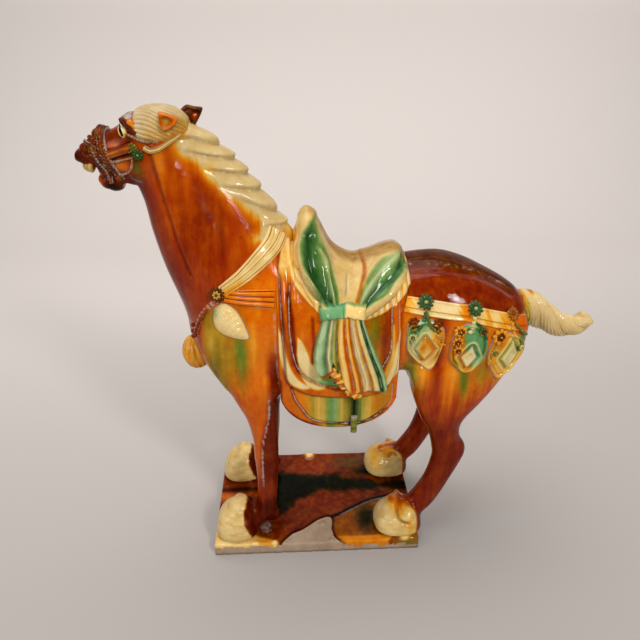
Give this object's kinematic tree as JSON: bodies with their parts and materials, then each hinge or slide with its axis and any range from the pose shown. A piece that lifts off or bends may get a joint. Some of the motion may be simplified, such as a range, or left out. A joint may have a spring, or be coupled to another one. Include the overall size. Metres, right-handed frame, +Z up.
{
  "type": "glazed earthenware tomb horse figure",
  "caption": "Standing saddled horse figure with harness pendants, sash and twisted tail, in three-colour glaze, on a rectangular slab plinth.",
  "frame": {"origin": "centre of the plinth's underside", "axes": "+Z up, +X from the head towards the tail, +Y towards the horse's right side"},
  "size_m": [0.4376, 0.131, 0.4078],
  "materials": {
    "three_colour_glaze": "glossy amber, cream and green lead glaze with dark brown where it pools",
    "plinth_glaze": "glossy dark brown, olive and amber glaze over bare buff clay"
  },
  "bodies": {
    "root": {"horse": "three_colour_glaze", "plinth": "plinth_glaze"}
  },
  "joints": []
}
